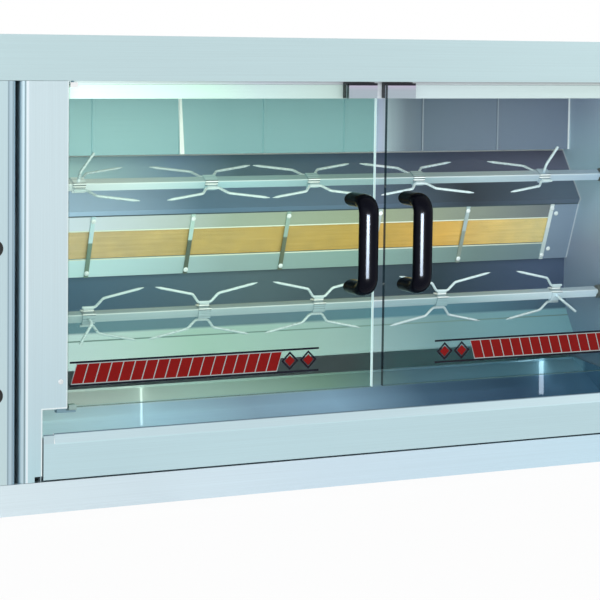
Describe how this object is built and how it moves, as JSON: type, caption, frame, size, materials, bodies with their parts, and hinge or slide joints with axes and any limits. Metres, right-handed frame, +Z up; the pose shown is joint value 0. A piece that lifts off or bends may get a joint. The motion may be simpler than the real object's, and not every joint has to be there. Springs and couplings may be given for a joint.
{
  "type": "gas rotisserie oven",
  "caption": "Countertop gas rotisserie with a wide stainless case, glass doors, spits with sliding forks, ceramic burners at the back and a drip drawer.",
  "frame": {"origin": "on the counter, under the middle of the whole machine's box, handles and gas inlet included", "axes": "+X to the right seen from the front, +Y to the back, +Z up; the doors face -Y"},
  "size_m": [1.154, 0.5345, 0.61],
  "materials": {
    "case_steel": "brushed",
    "cavity_steel": "satin",
    "tray_steel": "satin",
    "door_glass": "clear",
    "handle_black": "gloss",
    "polished_steel": "polished",
    "spit_steel": "polished",
    "burner_ceramic": "matt",
    "black_plastic": "matt",
    "magnet_black": "satin",
    "foot_rubber": "matt",
    "brass": "satin",
    "burner_pipe_steel": "satin",
    "motor_paint": "satin"
  },
  "bodies": {
    "chassis": {"base_frame": "case_steel", "feet": "foot_rubber", "top_cover": "case_steel", "rear_panel": "case_steel", "left_side_panel": "case_steel", "right_side_panel": "case_steel", "control_panel": "case_steel", "left_post": "case_steel", "right_post": "case_steel", "left_inner_wall": "cavity_steel", "right_inner_wall": "cavity_steel", "cavity_ceiling": "cavity_steel", "upper_back_wall": "cavity_steel", "lower_back_wall": "cavity_steel", "lower_burner_housing": "cavity_steel", "upper_burner_housing": "cavity_steel", "burner_ceramics": "burner_ceramic", "burner_straps": "cavity_steel", "fixing_screws": "polished_steel", "door_magnets": "magnet_black", "hinge_brackets": "polished_steel", "gas_manifold": "brass", "gas_valves": "brass", "burner_pipes": "burner_pipe_steel", "gearmotors": "motor_paint", "spit_bushes": "brass", "drawer_runners": "cavity_steel", "igniter_bodies": "black_plastic", "cable_gland": "black_plastic", "motor_switch_housing": "black_plastic"},
    "left_door": {"left_door_glass": "door_glass", "left_handle": "handle_black", "left_handle_screws": "polished_steel", "left_door_clips": "polished_steel"},
    "right_door": {"right_door_glass": "door_glass", "right_handle": "handle_black", "right_handle_screws": "polished_steel", "right_door_clips": "polished_steel"},
    "drip_drawer": {"drip_tray": "tray_steel"},
    "upper_spit": {"upper_spit": "spit_steel", "upper_drive_socket": "spit_steel"},
    "upper_fork_1": {"upper_fork_1": "spit_steel"},
    "upper_fork_2": {"upper_fork_2": "spit_steel"},
    "upper_fork_3": {"upper_fork_3": "spit_steel"},
    "upper_fork_4": {"upper_fork_4": "spit_steel"},
    "upper_fork_5": {"upper_fork_5": "spit_steel"},
    "upper_valve_spindle": {"upper_valve_spindle": "spit_steel"},
    "upper_gas_knob": {"upper_gas_knob": "black_plastic"},
    "upper_igniter_button": {"upper_igniter_button": "black_plastic"},
    "lower_spit": {"lower_spit": "spit_steel", "lower_drive_socket": "spit_steel"},
    "lower_fork_1": {"lower_fork_1": "spit_steel"},
    "lower_fork_2": {"lower_fork_2": "spit_steel"},
    "lower_fork_3": {"lower_fork_3": "spit_steel"},
    "lower_fork_4": {"lower_fork_4": "spit_steel"},
    "lower_fork_5": {"lower_fork_5": "spit_steel"},
    "lower_valve_spindle": {"lower_valve_spindle": "spit_steel"},
    "lower_gas_knob": {"lower_gas_knob": "black_plastic"},
    "lower_igniter_button": {"lower_igniter_button": "black_plastic"},
    "motor_switch_rocker": {"motor_switch_rocker": "black_plastic"}
  },
  "joints": [
    {"name": "left_door_swing", "type": "hinge", "parent": "chassis", "child": "left_door", "pos_m": [-0.36, -0.20925, 0.345], "axis": [0, 0, -1], "range_deg": [0, 105]},
    {"name": "right_door_swing", "type": "hinge", "parent": "chassis", "child": "right_door", "pos_m": [0.506, -0.20925, 0.345], "axis": [0, 0, 1], "range_deg": [0, 105]},
    {"name": "drip_drawer_slide", "type": "slide", "parent": "chassis", "child": "drip_drawer", "axis": [0, -1, 0], "range_m": [0, 0.22]},
    {"name": "upper_spit_turn", "type": "hinge", "parent": "chassis", "child": "upper_spit", "pos_m": [0, -0.07775, 0.412], "axis": [1, 0, 0], "continuous": true},
    {"name": "upper_fork_1_slide", "type": "slide", "parent": "upper_spit", "child": "upper_fork_1", "axis": [1, 0, 0], "range_m": [-0.031, 0.036]},
    {"name": "upper_fork_2_slide", "type": "slide", "parent": "upper_spit", "child": "upper_fork_2", "axis": [1, 0, 0], "range_m": [-0.036, 0.002]},
    {"name": "upper_fork_3_slide", "type": "slide", "parent": "upper_spit", "child": "upper_fork_3", "axis": [1, 0, 0], "range_m": [-0.002, 0.014]},
    {"name": "upper_fork_4_slide", "type": "slide", "parent": "upper_spit", "child": "upper_fork_4", "axis": [1, 0, 0], "range_m": [-0.014, 0.057]},
    {"name": "upper_fork_5_slide", "type": "slide", "parent": "upper_spit", "child": "upper_fork_5", "axis": [1, 0, 0], "range_m": [-0.057, 0.08]},
    {"name": "lower_spit_turn", "type": "hinge", "parent": "chassis", "child": "lower_spit", "pos_m": [0, -0.07775, 0.236], "axis": [1, 0, 0], "continuous": true},
    {"name": "lower_fork_1_slide", "type": "slide", "parent": "lower_spit", "child": "lower_fork_1", "axis": [1, 0, 0], "range_m": [-0.045, 0.013]},
    {"name": "lower_fork_2_slide", "type": "slide", "parent": "lower_spit", "child": "lower_fork_2", "axis": [1, 0, 0], "range_m": [-0.013, 0.02]},
    {"name": "lower_fork_3_slide", "type": "slide", "parent": "lower_spit", "child": "lower_fork_3", "axis": [1, 0, 0], "range_m": [-0.02, 0.044]},
    {"name": "lower_fork_4_slide", "type": "slide", "parent": "lower_spit", "child": "lower_fork_4", "axis": [1, 0, 0], "range_m": [-0.044, 0.04]},
    {"name": "lower_fork_5_slide", "type": "slide", "parent": "lower_spit", "child": "lower_fork_5", "axis": [1, 0, 0], "range_m": [-0.04, 0.06]},
    {"name": "upper_knob_push", "type": "slide", "parent": "chassis", "child": "upper_valve_spindle", "axis": [0, 1, 0], "range_m": [0, 0.004], "stiffness_N_per_m": 1500, "springref_m": -0.002},
    {"name": "upper_knob_turn", "type": "hinge", "parent": "upper_valve_spindle", "child": "upper_gas_knob", "pos_m": [-0.524, -0.23075, 0.3465], "axis": [0, -1, 0], "range_deg": [0, 210]},
    {"name": "upper_igniter_push", "type": "slide", "parent": "chassis", "child": "upper_igniter_button", "axis": [0, 1, 0], "range_m": [0, 0.006], "stiffness_N_per_m": 900, "springref_m": -0.002},
    {"name": "lower_knob_push", "type": "slide", "parent": "chassis", "child": "lower_valve_spindle", "axis": [0, 1, 0], "range_m": [0, 0.004], "stiffness_N_per_m": 1500, "springref_m": -0.002},
    {"name": "lower_knob_turn", "type": "hinge", "parent": "lower_valve_spindle", "child": "lower_gas_knob", "pos_m": [-0.524, -0.23075, 0.1635], "axis": [0, -1, 0], "range_deg": [0, 210]},
    {"name": "lower_igniter_push", "type": "slide", "parent": "chassis", "child": "lower_igniter_button", "axis": [0, 1, 0], "range_m": [0, 0.006], "stiffness_N_per_m": 900, "springref_m": -0.002},
    {"name": "motor_switch_tilt", "type": "hinge", "parent": "chassis", "child": "motor_switch_rocker", "pos_m": [-0.504, -0.21175, 0.255], "axis": [1, 0, 0], "range_deg": [0, 24]}
  ]
}
